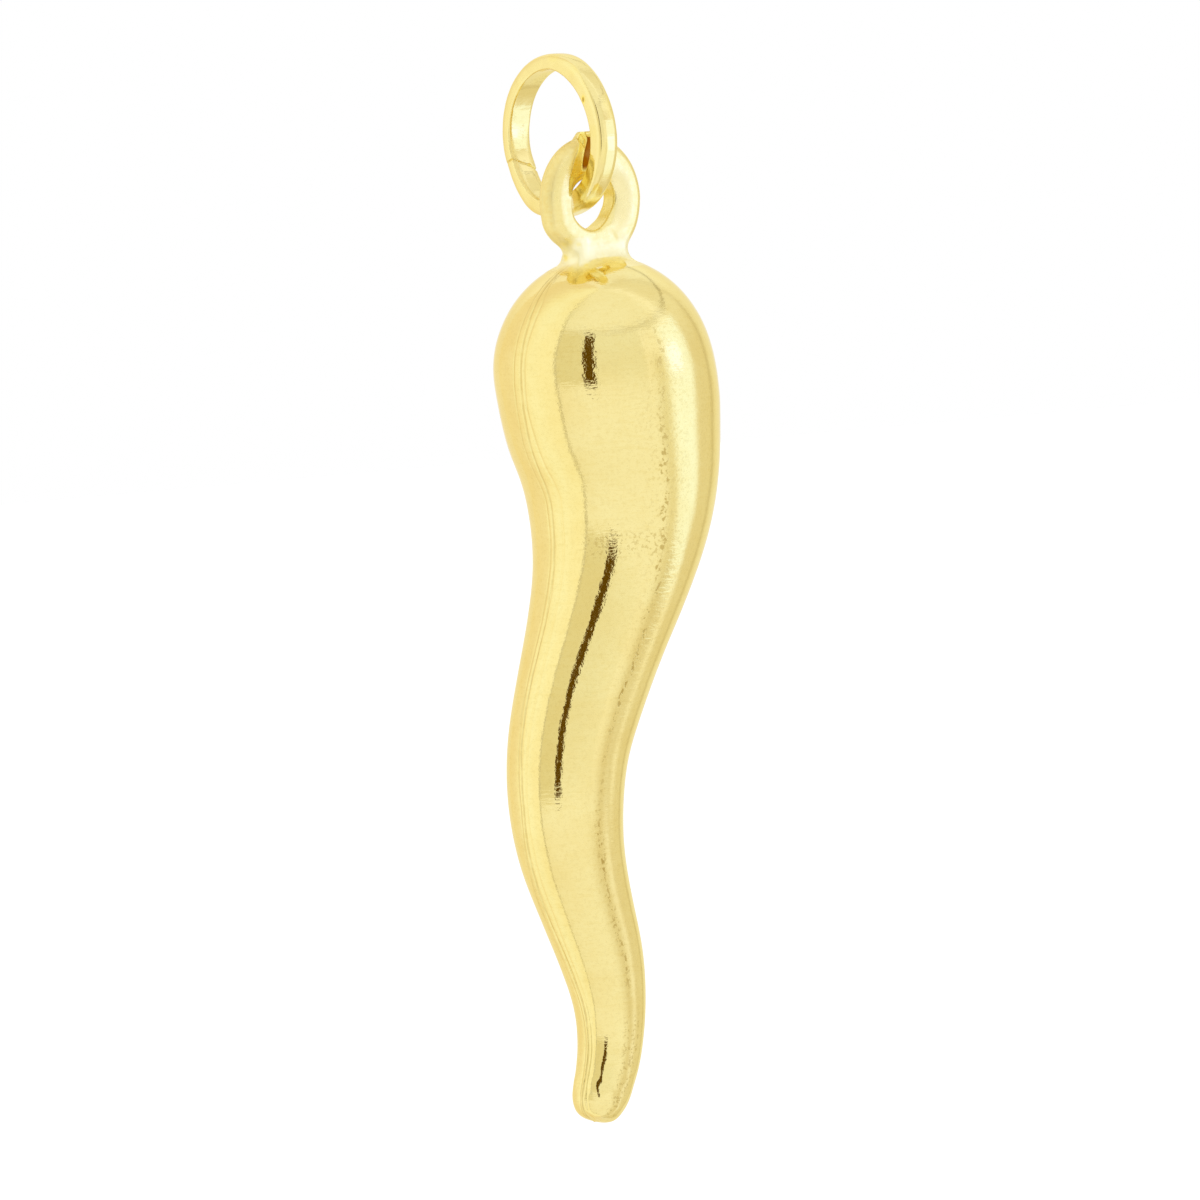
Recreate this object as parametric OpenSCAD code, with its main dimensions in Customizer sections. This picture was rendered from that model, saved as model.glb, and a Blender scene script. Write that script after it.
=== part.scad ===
// Cornicello horn pendant: a solid curved horn with a neck and an eye, hanging
// from a closed jump ring of flattened wire.
// Millimetres, +Z up, -Y is the front. The origin is the inner top of the jump
// ring, where the pendant hangs. The horn swings about the axis of its eye hole.

/* [Horn body] */
// Height of the horn body, from the top of its shoulder to the end of its tip
body_h = 32.15; // [28:0.05:36]
// Diameter of the body at its widest section, just below the shoulder
body_d = 8.38; // [7.4:0.02:9]
// Height of the rounded shoulder above the widest section
shoulder_h = 4.62; // [4:0.01:5.5]
// Height of the rounded end of the tip
tip_h = 1.35; // [0.9:0.05:1.6]
// How strongly the body bends from side to side (1 is the real bend)
bend = 1; // [0.5:0.05:1.2]
// Turn about the eye hole that puts the centre of mass right under it, degrees
hang_turn = 0; // [-2:0.05:2]

/* [Neck and eye] */
// Height of the hole's centre above the top of the shoulder
neck_h = 2.05; // [1.9:0.05:2.6]
// Width of the eye, side to side
eye_w = 4.3; // [4:0.05:4.6]
// Height of the oval of the eye
eye_h = 4.82; // [4.4:0.02:5.2]
// Thickness of the eye, front to back
eye_t = 1.02; // [0.9:0.02:1.1]
// Diameter of the round hole in the eye
hole_d = 2.18; // [2.16:0.02:2.4]
// Radius that breaks the edges of the hole
hole_edge_r = 0.16; // [0.08:0.02:0.2]
// Width of the neck where it is narrowest
neck_w = 2.6; // [2.2:0.05:2.8]
// Height of the small flat-topped nub on top of the eye
nub_h = 0.18; // [0.1:0.02:0.24]
// Width of the nub
nub_w = 0.8; // [0.7:0.05:1.3]

/* [Jump ring] */
// Outer diameter of the ring
ring_od = 6.12; // [6:0.02:6.2]
// Thickness of the wire across the ring, from inside to outside
wire_radial = 0.7; // [0.6:0.01:0.75]
// Width of the wire along the axis of the ring
wire_axial = 0.9; // [0.7:0.01:0.92]
// Depth of the rounded outside of the wire
wire_dome = 0.4; // [0.3:0.01:0.44]
// Squareness of the rounded outside (2 is half an oval, larger is squarer)
wire_square = 3.4; // [2:0.1:4]
// Radius on the two inner edges of the wire
wire_edge_r = 0.07; // [0.03:0.01:0.1]

/* [How the ring sits in the eye] */
// Sideways distance of the eye hole from the plane of the ring
eye_dx = 0.2; // [0:0.05:0.2]
// How far the eye sits in front of the centre of the ring
eye_dy = 1.2; // [0.9:0.05:1.2]
// How far the centre of the hole is below the centre of the ring
eye_dz = 2.46; // [2.4:0.01:2.48]

/* [Facets] */
// Points around each section of the horn
around = 48; // [24:4:48]
// Sections between two rows of the body's table
per_row = 3; // [2:1:3]

/* [Hidden] */

// Columns of the body's table. The rows are equal steps down the body,
// from the top of the shoulder to the end of the tip.
SHIFT = 0;   // sideways shift of the section's centre from the hole, mm
RADIUS = 1;  // radius of the section as a part of the widest radius
THICK = 2;   // thickness front to back as a part of the width
BODY = [
    [ 0.40, 1.000, 1.00],
    [ 0.40, 1.000, 1.00],
    [ 0.43, 1.000, 1.00],
    [ 0.70, 0.977, 1.00],
    [ 0.97, 0.886, 1.03],
    [ 0.82, 0.786, 1.07],
    [ 0.30, 0.682, 1.09],
    [-0.50, 0.612, 1.07],
    [-1.32, 0.580, 1.01],
    [-2.02, 0.547, 1.00],
    [-2.26, 0.519, 1.00],
    [-2.09, 0.477, 1.00],
    [-1.52, 0.424, 1.00],
    [-0.88, 0.380, 1.00],
    [-0.58, 0.318, 1.00],
    [-0.81, 0.282, 1.00],
    [-1.60, 0.249, 1.00],
];

// Columns of the neck's table, from the hole's centre down into the shoulder.
DOWN = 0;    // height below the hole's centre, as a part of neck_h
OFFSET = 1;  // sideways shift of the section's centre, mm
HALF_W = 2;  // half width, mm
HALF_T = 3;  // half thickness, mm
SQUARE = 4;  // 2 is an ellipse, larger is squarer
NECK = [
    [0.00, 0.14, eye_w / 2,            eye_t / 2,        3.4],
    [0.24, 0.13, eye_w / 2 - 0.06,     eye_t / 2,        3.4],
    [0.48, 0.11, eye_w / 2 - 0.19,     eye_t / 2,        3.4],
    [0.68, 0.11, neck_w / 2 + 0.44,    eye_t / 2,        3.3],
    [0.84, 0.15, neck_w / 2 + 0.18,    eye_t / 2 + 0.01, 3.1],
    [0.97, 0.18, neck_w / 2 + 0.01,    eye_t / 2 + 0.04, 2.8],
    [1.04, 0.22, neck_w / 2 - 0.01,    eye_t / 2 + 0.14, 2.5],
    [1.11, 0.28, neck_w / 2 + 0.06,    eye_t / 2 + 0.54, 2.2],
];

body_r = body_d / 2;
ring_r = ring_od / 2;
ring_in = ring_r - wire_radial;

// Centre of the ring and centre of the eye hole
ring_c = [0, 0, -ring_in];
hole_c = ring_c + [eye_dx, -eye_dy, -eye_dz];

// Value of a smooth curve through rows p0 to p3, between p1 and p2
function spline(p0, p1, p2, p3, s) =
    (2 * p1 + (p2 - p0) * s + (2 * p0 - 5 * p1 + 4 * p2 - p3) * s * s
     + (3 * p1 - p0 - 3 * p2 + p3) * s * s * s) / 2;

// Row of a table, carried on in a straight line past both ends
function row(table, i) =
    i < 0 ? 2 * table[0] - table[1] :
    i > len(table) - 1 ? 2 * table[len(table) - 1] - table[len(table) - 2] :
    table[i];

// A table read at any place u, counted in rows
function at(table, u) =
    let (i = max(0, min(len(table) - 2, floor(u))))
    spline(row(table, i - 1), row(table, i), row(table, i + 1), row(table, i + 2), u - i);

// Body: depth t is measured down from the top of the shoulder
body_step = body_h / (len(BODY) - 1);
function body_x(t) = bend * at(BODY, t / body_step)[SHIFT];
function shoulder(t) = t < shoulder_h ? sqrt(max(0, 1 - pow(1 - t / shoulder_h, 2))) : 1;
function tip(t) = t > body_h - tip_h
    ? pow(max(0, 1 - pow((t - body_h + tip_h) / tip_h, 3)), 1 / 3) : 1;
function body_radius(t) = body_r * at(BODY, t / body_step)[RADIUS] * shoulder(t) * tip(t);
function body_thick(t) = body_radius(t) * at(BODY, t / body_step)[THICK];
function body_slope(t) = (body_x(t + 0.05) - body_x(t - 0.05)) / 0.1;

// Point k around a section: centre x and z, half width, half thickness,
// squareness and the tilt of the section in the plane of the bend
function ring_point(x, z, w, h, n, tilt, k) =
    let (a = 360 * k / around, c = cos(a), s = sin(a),
         px = w * sign(c) * pow(abs(c), 2 / n), py = h * sign(s) * pow(abs(s), 2 / n))
    [x + px * cos(tilt), py, z + px * sin(tilt)];
function section(x, z, w, h, n = 2, tilt = 0) =
    [for (k = [0 : around - 1]) ring_point(x, z, w, h, n, tilt, k)];

// The nub on the eye: a flat top with a broken edge, and upright sides
nub_sections = [for (e = [1, 0.4, 0])
    section(NECK[0][OFFSET], eye_h / 2 + nub_h - 0.05 * (1 - e), nub_w / 2 - 0.08 * e,
        eye_t / 2 * 0.86 - 0.08 * e, 3)];

// The eye above the hole's centre is half an oval
eye_rings = 11;
nub_angle = asin((nub_w + 0.06) / eye_w);
eye_sections = [for (i = [0 : eye_rings - 1])
    let (a = nub_angle + (90 - nub_angle) * i / eye_rings)
    section(NECK[0][OFFSET], eye_h / 2 * cos(a), eye_w / 2 * sin(a),
        eye_t / 2 * pow(sin(a), 0.1), NECK[0][SQUARE] + sin(a) - 1)];

// Below it the eye narrows to the neck, which spreads onto the shoulder
neck_rings = 18;
neck_sections = [for (i = [0 : neck_rings])
    let (r = at(NECK, i * (len(NECK) - 1) / neck_rings))
    section(r[OFFSET], -neck_h * r[DOWN], r[HALF_W], r[HALF_T], r[SQUARE])];

// The body: close sections on the shoulder and the tip, even ones between
shoulder_rings = 10;
tip_rings = 8;
shoulder_start = 0.42;
start_angle = acos(1 - shoulder_start / shoulder_h);
body_depths = concat(
    [for (i = [0 : shoulder_rings - 1]) let (a = start_angle + (90 - start_angle) * i / (shoulder_rings - 1))
        shoulder_h * (1 - cos(a))],
    [for (i = [1 : (len(BODY) - 3) * per_row - 1])
        shoulder_h + (body_h - tip_h - shoulder_h) * i / ((len(BODY) - 3) * per_row)],
    [for (i = [0 : tip_rings - 1]) body_h - tip_h + tip_h * sin(85 * i / (tip_rings - 1))]);
body_sections = [for (t = body_depths)
    section(body_x(t), -neck_h - t, body_radius(t), body_thick(t), 2,
        t < shoulder_h ? 0 : atan(body_slope(t)) * min(1, (t - shoulder_h) / body_step))];

// A closed skin over a list of sections, with flat ends
module skin(sections) {
    n = len(sections);
    points = [for (s = sections) for (p = s) p];
    faces = concat(
        [[for (k = [around - 1 : -1 : 0]) k]],
        [for (i = [0 : n - 2]) for (k = [0 : around - 1])
            let (a = i * around + k, b = i * around + (k + 1) % around,
                 c = a + around, d = b + around) each [[a, b, c], [b, d, c]]],
        [[for (k = [0 : around - 1]) (n - 1) * around + k]]);
    polyhedron(points = points, faces = faces, convexity = 4);
}

// Round hole along Y, its edges broken by a radius at both faces
module eye_hole() {
    r = hole_d / 2;
    e = hole_edge_r;
    f = eye_t / 2;
    rotate([90, 0, 0]) {
        cylinder(r = r, h = 2 * eye_t, center = true, $fn = 64);
        for (m = [0, 1]) mirror([0, 0, m])
            rotate_extrude($fn = 64)
                polygon(concat([[0, f - e]],
                    [for (a = [0 : 15 : 90]) [r + e * (1 - cos(a)), f - e + e * sin(a)]],
                    [[r + e, f + 0.5], [0, f + 0.5]]));
    }
}

module horn() {
    color("gold")
    translate(hole_c) rotate([0, hang_turn, 0])
    difference() {
        skin(concat(nub_sections, eye_sections, neck_sections, body_sections));
        eye_hole();
    }
}

// Section of the wire: flat inside with broken edges, domed outside
module wire_section() {
    w = wire_axial / 2;
    e = wire_edge_r;
    m = ring_r - wire_dome;
    polygon(concat(
        [for (a = [270 : -30 : 180]) [ring_in + e + e * cos(a), -w + e + e * sin(a)]],
        [for (a = [180 : -30 : 90]) [ring_in + e + e * cos(a), w - e + e * sin(a)]],
        [for (a = [90 : -7.5 : -90])
            [m + wire_dome * pow(abs(cos(a)), 2 / wire_square), w * sign(a) * pow(abs(sin(a)), 2 / wire_square)]]));
}

module jump_ring() {
    color("goldenrod")
    translate(ring_c) rotate([0, 90, 0])
        rotate_extrude($fn = 96) wire_section();
}

horn();
jump_ring();
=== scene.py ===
import math

import bmesh
import bpy
import numpy as np
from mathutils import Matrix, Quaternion, Vector


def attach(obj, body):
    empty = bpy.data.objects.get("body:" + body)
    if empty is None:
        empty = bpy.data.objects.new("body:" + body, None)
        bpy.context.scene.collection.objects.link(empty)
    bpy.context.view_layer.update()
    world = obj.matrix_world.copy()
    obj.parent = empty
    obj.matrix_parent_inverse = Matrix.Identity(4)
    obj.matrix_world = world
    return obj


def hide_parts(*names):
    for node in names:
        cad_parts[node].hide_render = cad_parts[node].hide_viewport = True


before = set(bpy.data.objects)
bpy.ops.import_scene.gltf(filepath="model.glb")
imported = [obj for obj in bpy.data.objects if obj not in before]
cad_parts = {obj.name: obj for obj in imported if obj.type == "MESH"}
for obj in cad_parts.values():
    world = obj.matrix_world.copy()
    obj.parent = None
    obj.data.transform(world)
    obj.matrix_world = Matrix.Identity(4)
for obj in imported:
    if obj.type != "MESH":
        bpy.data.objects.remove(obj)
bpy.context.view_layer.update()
MM = 0.001

# ---------------------------------------------------------------- sizes, in mm
BODY_H, BODY_R, SHOULDER, TIP = 32.15, 4.19, 4.62, 1.35
NECK_H, EYE_W, EYE_H, EYE_T, HOLE_R = 2.05, 4.3, 4.82, 1.02, 1.09
NECK_W, NUB_H, NUB_W = 2.6, 0.18, 0.8
RING_R, RING_IN, WIRE_AX = 3.06, 2.36, 0.90
DOME, SQUARE, WIRE_EDGE = 0.40, 3.4, 0.07
RING_C = np.array([0.0, 0.0, -RING_IN])
HOLE_C = RING_C + np.array([0.2, -1.2, -2.46])

# Sideways shift of the body's centre (mm), its radius (part of the widest) and its
# depth (part of its width), in equal steps from the shoulder to the end of the tip
BODY = np.array([
    [0.40, 1.000, 1.00], [0.40, 1.000, 1.00], [0.43, 1.000, 1.00], [0.70, 0.977, 1.00], [0.97, 0.886, 1.03],
    [0.82, 0.786, 1.07], [0.30, 0.682, 1.09], [-0.50, 0.612, 1.07], [-1.32, 0.580, 1.01], [-2.02, 0.547, 1.00],
    [-2.26, 0.519, 1.00], [-2.09, 0.477, 1.00], [-1.52, 0.424, 1.00], [-0.88, 0.380, 1.00],
    [-0.58, 0.318, 1.00], [-0.81, 0.282, 1.00], [-1.60, 0.249, 1.00]])
BODY_STEP = BODY_H / (len(BODY) - 1)


def read(table, u):
    """Smooth curve through the rows of a table, read at row number u."""
    t = np.vstack([2 * table[0] - table[1], table, 2 * table[-1] - table[-2]])
    u = np.asarray(u, float)
    i = np.clip(np.floor(u).astype(int), 0, len(table) - 2)
    s = (u - i)[..., None]
    p0, p1, p2, p3 = t[i], t[i + 1], t[i + 2], t[i + 3]
    return 0.5 * (2 * p1 + (p2 - p0) * s + (2 * p0 - 5 * p1 + 4 * p2 - p3) * s ** 2
                  + (3 * p1 - p0 - 3 * p2 + p3) * s ** 3)


class Noise:
    """Smooth value noise on a seeded lattice, about -1 to 1."""

    def __init__(self, seed, n=64):
        self.n = n
        self.v = np.random.default_rng(seed).uniform(-1, 1, (n, n, n))

    def __call__(self, p, scale):
        q = np.asarray(p, float) / scale
        i = np.floor(q).astype(int)
        f = q - i
        f = f * f * f * (f * (6 * f - 15) + 10)
        out = np.zeros(q.shape[:-1])
        for dx in (0, 1):
            for dy in (0, 1):
                for dz in (0, 1):
                    w = ((f[..., 0] if dx else 1 - f[..., 0]) * (f[..., 1] if dy else 1 - f[..., 1])
                         * (f[..., 2] if dz else 1 - f[..., 2]))
                    out += w * self.v[(i[..., 0] + dx) % self.n, (i[..., 1] + dy) % self.n,
                                      (i[..., 2] + dz) % self.n]
        return out


# ---------------------------------------------------------------- mesh helpers
def mesh_object(name, verts, faces):
    me = bpy.data.meshes.new(name)
    me.from_pydata([tuple(v) for v in np.asarray(verts) * MM], [], [tuple(f) for f in faces])
    me.polygons.foreach_set("use_smooth", [True] * len(me.polygons))
    me.update()
    ob = bpy.data.objects.new(name, me)
    bpy.context.scene.collection.objects.link(ob)
    return ob


def tube_faces(rows, cols, closed_rows=False):
    """Quads between rows of points that close on themselves around the columns."""
    r = np.arange(rows if closed_rows else rows - 1)[:, None]
    c = np.arange(cols)[None, :]
    a = r * cols + c
    b = r * cols + (c + 1) % cols
    d = ((r + 1) % rows) * cols + c
    e = ((r + 1) % rows) * cols + (c + 1) % cols
    return np.stack([a, b, e, d], -1).reshape(-1, 4).tolist()


# ---------------------------------------------------------------- the horn's body
LIFT = 0.014          # the plain surface lies this far under the seam's crest
FINE = 0.02
t_fine = np.arange(-2.0, BODY_H + 2.0, FINE)


def blur(values, sigma):
    k = np.arange(-int(4 * sigma / FINE), int(4 * sigma / FINE) + 1) * FINE
    w = np.exp(-0.5 * (k / sigma) ** 2)
    w /= w.sum()
    pad = len(k) // 2
    ext = np.concatenate([2 * values[0] - values[pad:0:-1], values, 2 * values[-1] - values[-2:-pad - 2:-1]])
    return np.convolve(ext, w, "valid")


_x = read(BODY, t_fine / BODY_STEP)[:, 0]
_r = BODY_R * read(BODY, t_fine / BODY_STEP)[:, 1]
_q = read(BODY, t_fine / BODY_STEP)[:, 2]
_x, _r, _q = blur(_x, 0.55), blur(_r, 0.55), blur(_q, 0.7)
_slope = np.gradient(_x, FINE)
_ramp = np.clip((t_fine - SHOULDER) / BODY_STEP, 0, 1)
_ramp = _ramp * _ramp * (3 - 2 * _ramp)
_tilt = blur(np.arctan(_slope) * _ramp, 0.4)


def shoulder(t):
    """Rounded top: an ellipse that eases into the side with no jump in its curve."""
    q = np.clip(1 - t / (SHOULDER * 1.06), 0, 1)
    return np.sqrt(np.maximum(0, 1 - q ** 2.2))


def tip(t):
    q = np.clip((t - (BODY_H - TIP)) / TIP, 0, 1)
    return np.maximum(0, 1 - q ** 2.9) ** (1 / 2.9)


def body_at(t):
    x = np.interp(t, t_fine, _x)
    r = np.interp(t, t_fine, _r) * shoulder(t) * tip(t)
    return x, r, np.interp(t, t_fine, _tilt)


# rows: by angle over the shoulder, even down the body, by angle over the tip
a = np.linspace(0.02, math.pi / 2, 92)
t_rows = np.concatenate([
    SHOULDER * (1 - np.cos(a)),
    np.linspace(SHOULDER, BODY_H - TIP, 204)[1:],
    BODY_H - TIP + TIP * np.sin(np.linspace(0, math.pi / 2 * 0.985, 30)[1:])])
xc, rc, tc = body_at(t_rows)

# columns: close together over the parting lines at the left, where they show most,
# a little closer over the seam at the right, and even between
qc = np.interp(t_rows, t_fine, _q)
kl = np.clip(rc / 2.2, 0.02, 1) / np.maximum(rc, 1e-4)
kr = np.clip(rc / 1.0, 0.02, 1) / np.maximum(rc, 1e-4)
PI = math.pi


def arc(a0, a1, n):
    """n angles from a0 up to, not including, a1, for every row."""
    return a0[:, None] + (a1 - a0)[:, None] * (np.arange(n) / n)[None, :]


left0, left1 = PI - 0.62 * kl, PI + 0.95 * kl
right0, right1 = 2 * PI - 0.34 * kr, 2 * PI + 0.34 * kr
ang = np.concatenate([arc(left0, left1, 52), arc(left1, right0, 84), arc(right0, right1, 14),
                      arc(right1, 2 * PI + left0, 56)], 1)
COLS = ang.shape[1]

wander = Noise(3)
swell = Noise(5)
grain = Noise(8)

# Parting lines at the left: depth down the body, then the distance of each fine line
# in front of the middle of the side (mm)
LINES = np.array([
    [0.5, -0.05, 0.10, 0.14], [1.6, -0.06, 0.22, 0.54], [2.4, -0.07, 0.27, 0.54], [4.0, -0.14, 0.26, 0.45],
    [5.4, -0.28, 0.12, 0.32], [6.8, -0.30, 0.08, 0.50], [9.0, -0.06, 0.20, 0.70], [10.5, -0.10, 0.14, 0.58],
    [13.5, -0.07, 0.14, 0.53], [16.5, -0.14, 0.06, 0.50], [18.2, -0.05, 0.11, 0.42], [20.2, 0.04, 0.20, 0.36],
    [23.9, -0.26, 0.00, 0.30], [25.8, -0.14, 0.10, 0.30], [29.1, 0.10, 0.24, 0.40], [32.1, 0.08, 0.20, 0.40]])


def line_at(t, i):
    n = np.stack([np.full_like(t, 3.0 + i), np.zeros_like(t), t], -1)
    return np.interp(t, LINES[:, 0], LINES[:, i]) + 0.020 * wander(n, 0.9) + 0.008 * wander(n + 7, 0.25)


def dip(x, width):
    return np.exp(-0.5 * (x / width) ** 2)


def left_seam(s, t):
    """Height of the parting lines at distance s in front of the middle of the left side."""
    l1, l2, l3 = line_at(t, 1), line_at(t, 2), line_at(t, 3)
    n = np.stack([np.zeros_like(t), np.zeros_like(t), t], -1)
    u1, u2 = 1 + 0.45 * wander(n + 13, 0.6), 1 + 0.45 * wander(n + 17, 0.5)
    flat = 1 / (1 + np.exp(np.clip(-(s - l1) / 0.02, -30, 30))) / (1 + np.exp(np.clip((s - l2) / 0.02, -30, 30)))
    return (0.010 * flat - 0.016 * u1 * dip(s - l1, 0.026) - 0.018 * u2 * dip(s - l2, 0.026)
            - 0.010 * u1 * dip(s - l3, 0.028) - 0.010 * np.exp(-np.abs(s - l3) / 0.16))


def seam_height(s, t, side):
    """Height of the parting seam at arc distance s from its middle."""
    n = np.stack([np.full_like(t, 7.3 * side), np.zeros_like(t), t], -1)
    c = 0.045 * wander(n, 2.6) + 0.012 * wander(n + 9, 0.5)
    half = 0.118 + 0.022 * wander(n + 31, 1.7)
    d = (np.abs(s - c) - half) / 0.045
    band = 1 / (1 + np.exp(np.clip(d * 3.2, -30, 30)))
    return 0.0120 * band * (1 + 0.16 * wander(n + 55, 0.9))


cs, sn = np.cos(ang), np.sin(ang)
T = np.repeat(t_rows[:, None], COLS, 1)
R = np.repeat(rc[:, None], COLS, 1)
# arc distance from the seam, signed, at the right (+X) and the left (-X) side
turn = (ang + PI) % (2 * PI) - PI
s_right = turn * R
s_left = (ang - PI) * R
on = np.clip((T - 0.3) / 0.8, 0, 1)
seam = np.where(cs >= 0, seam_height(s_right, T, 1), left_seam(s_left, T)) * on
Q = np.repeat(qc[:, None], COLS, 1)
P0 = np.stack([xc[:, None] + R * cs, R * sn, -NECK_H - T], -1)
end_wear = np.clip((T - (BODY_H - 2.3)) / 1.2, 0, 1)
dents = (end_wear * (0.032 * (swell(P0 + 60, 0.55) - 0.4) + 0.013 * swell(P0 + 80, 0.28)) + 0.0035 * swell(P0, 2.3) + 0.0018 * swell(P0 + 40, 0.9) + 0.0011 * grain(P0, 0.42)
         + 0.0005 * grain(P0 + 20, 0.27))
Rm = R - LIFT * np.clip(R / 0.6, 0, 1) + (seam + dents * np.clip((R - 0.2) / 1.0, 0, 1))
body_pts = np.stack([xc[:, None] + Rm * cs * np.cos(tc)[:, None], Rm * Q * sn,
                     -NECK_H - T + Rm * cs * np.sin(tc)[:, None]], -1)
# the tip is pressed in a little where the seam crosses its end
end = np.clip((T - (BODY_H - 0.42)) / 0.42, 0, 1) ** 2
groove = np.exp(-0.5 * ((body_pts[..., 1] + 0.25) / 0.07) ** 2) * np.exp(-0.5 * ((body_pts[..., 0] - xc[-1] + 0.42) / 0.26) ** 2)
body_pts[..., 2] += 0.10 * end * groove
verts = body_pts.reshape(-1, 3)
rows = len(t_rows)
top = np.array([[xc[0], 0, -NECK_H - t_rows[0] + 0.0005]])
low = np.array([[xc[-1], 0, body_pts[-1, :, 2].min() - 0.001]])
verts = np.vstack([verts, top, low]) + HOLE_C
faces = [f[::-1] for f in tube_faces(rows, COLS)]
nt, nb = rows * COLS, rows * COLS + 1
faces += [[nt, c, (c + 1) % COLS] for c in range(COLS)]
faces += [[nb, (rows - 1) * COLS + (c + 1) % COLS, (rows - 1) * COLS + c] for c in range(COLS)]
body = mesh_object("horn_drop", verts, faces)

# ---------------------------------------------------------------- the eye and neck
# Outline seen from the front, from the hole's centre: oval, nub and neck
NECK = np.array([  # depth, shift, half width
    [0.00, 0.14, EYE_W / 2], [0.24, 0.13, EYE_W / 2 - 0.06], [0.48, 0.11, EYE_W / 2 - 0.19],
    [0.68, 0.13, NECK_W / 2 + 0.41], [0.84, 0.19, NECK_W / 2 + 0.10], [0.97, 0.23, NECK_W / 2 - 0.10],
    [1.04, 0.27, NECK_W / 2 - 0.13], [1.11, 0.29, NECK_W / 2 - 0.11]])
aa = np.linspace(0, math.pi / 2, 160)
ox, oz = 0.14 + (EYE_W / 2 - 0.006) * np.sin(aa), (EYE_H / 2 - 0.004) * np.cos(aa)
u = np.linspace(0, len(NECK) - 1, 200)[1:]
nk = read(NECK, u)
rx = np.concatenate([ox, nk[:, 1] + nk[:, 2] - 0.006, [1.53, 1.53]])
rz = np.concatenate([oz, -NECK_H * nk[:, 0], [-2.7, -3.3]])
lx = np.concatenate([0.28 - ox, nk[:, 1] - nk[:, 2] + 0.006, [-1.05, -1.05]])


def polar(x, z):
    th, rad = np.arctan2(x, z), np.hypot(x, z)
    o = np.argsort(th)
    return th[o], rad[o]


th_r, ra_r = polar(rx, rz)
th_l, ra_l = polar(-lx, rz)


def outer(th):
    """Distance of the outline from the hole's centre at angle th from straight up, right positive."""
    th = (th + math.pi) % (2 * math.pi) - math.pi
    r = np.where(th >= 0, np.interp(th, th_r, ra_r), np.interp(-th, th_l, ra_l))
    # the bottom, deep inside the body, is flat
    flat = 3.3 / np.maximum(-np.cos(th), 1e-3)
    r = np.where((np.cos(th) < -0.5) & (flat < r + 0.4), np.minimum(np.maximum(r, 0), flat), r)
    r = np.where(np.cos(th) < -math.cos(math.atan2(1.05, 3.3)), flat, r)
    # flat-topped nub, its left side sloping
    x = r * np.sin(th)
    ease = lambda q: np.clip(q, 0, 1) ** 2 * (3 - 2 * np.clip(q, 0, 1))
    up = ease((x - (0.14 - NUB_W / 2 - 0.10)) / 0.16) * ease(((0.14 + NUB_W / 2 + 0.04) - x) / 0.10)
    nub = (EYE_H / 2 + NUB_H - 0.012) / np.maximum(np.cos(th), 0.5)
    r = np.where(np.cos(th) > 0.9, r + (nub - r) * up, r)
    # the sides stand out a little more, the left one most
    wide = np.where(th < 0, 0.10, 0.0) * np.sin(np.clip(np.abs(th) - 0.25, 0, 1.35) / 1.35 * math.pi / 2)
    return r + wide * np.clip((2.45 - np.abs(th)) / 0.5, 0, 1)


th = np.concatenate([np.linspace(-0.30, 0.30, 46)[:-1], np.linspace(0.30, 2 * math.pi - 0.30, 165)[:-1]])
ro = outer(th)
half_t = EYE_T / 2
OUT_W, OUT_T, OUT_N = 0.52, 0.455, 2.15    # rounding of the eye's outer edge: width, depth, squareness


def section(width, thick, ri, out_w):
    """Half of the eye's section: (distance from the hole's wall, height), wall to outer edge."""
    pts = []
    for q in np.linspace(0, 1, 6)[:-1]:
        pts.append((0.0, q * (thick - ri)))
    for q in np.linspace(0, math.pi / 2, 9):
        pts.append((ri - ri * math.cos(q), thick - ri + ri * math.sin(q)))
    f0, f1 = ri, width - out_w
    for q in np.linspace(0, 1, 15)[1:-1]:
        pts.append((f0 + (f1 - f0) * q, thick))
    for q in np.linspace(math.pi / 2, 0, 17):
        pts.append((f1 + out_w * math.cos(q) ** (2 / OUT_N), thick - OUT_T + OUT_T * math.sin(q) ** (2 / OUT_N)))
    pts.append((width, 0.035))
    pts.append((width - 0.014, 0.0))       # parting line round the rim
    return np.array(pts)


def soft(x):
    x = np.clip(x, 0, 1)
    return x * x * (3 - 2 * x)


def hollow(x, z):
    """Worn hollow in the eye's front face beside the wire: 0 outside, 1 at its floor."""
    edge_x = np.interp(z, [0.2, 0.8, 1.54, 2.36], [-1.28, -1.20, -0.93, -0.46])
    return soft((x - edge_x) / 0.15) * soft((0.75 - x) / 0.3) * soft((z - 0.15) / 0.6)


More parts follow.
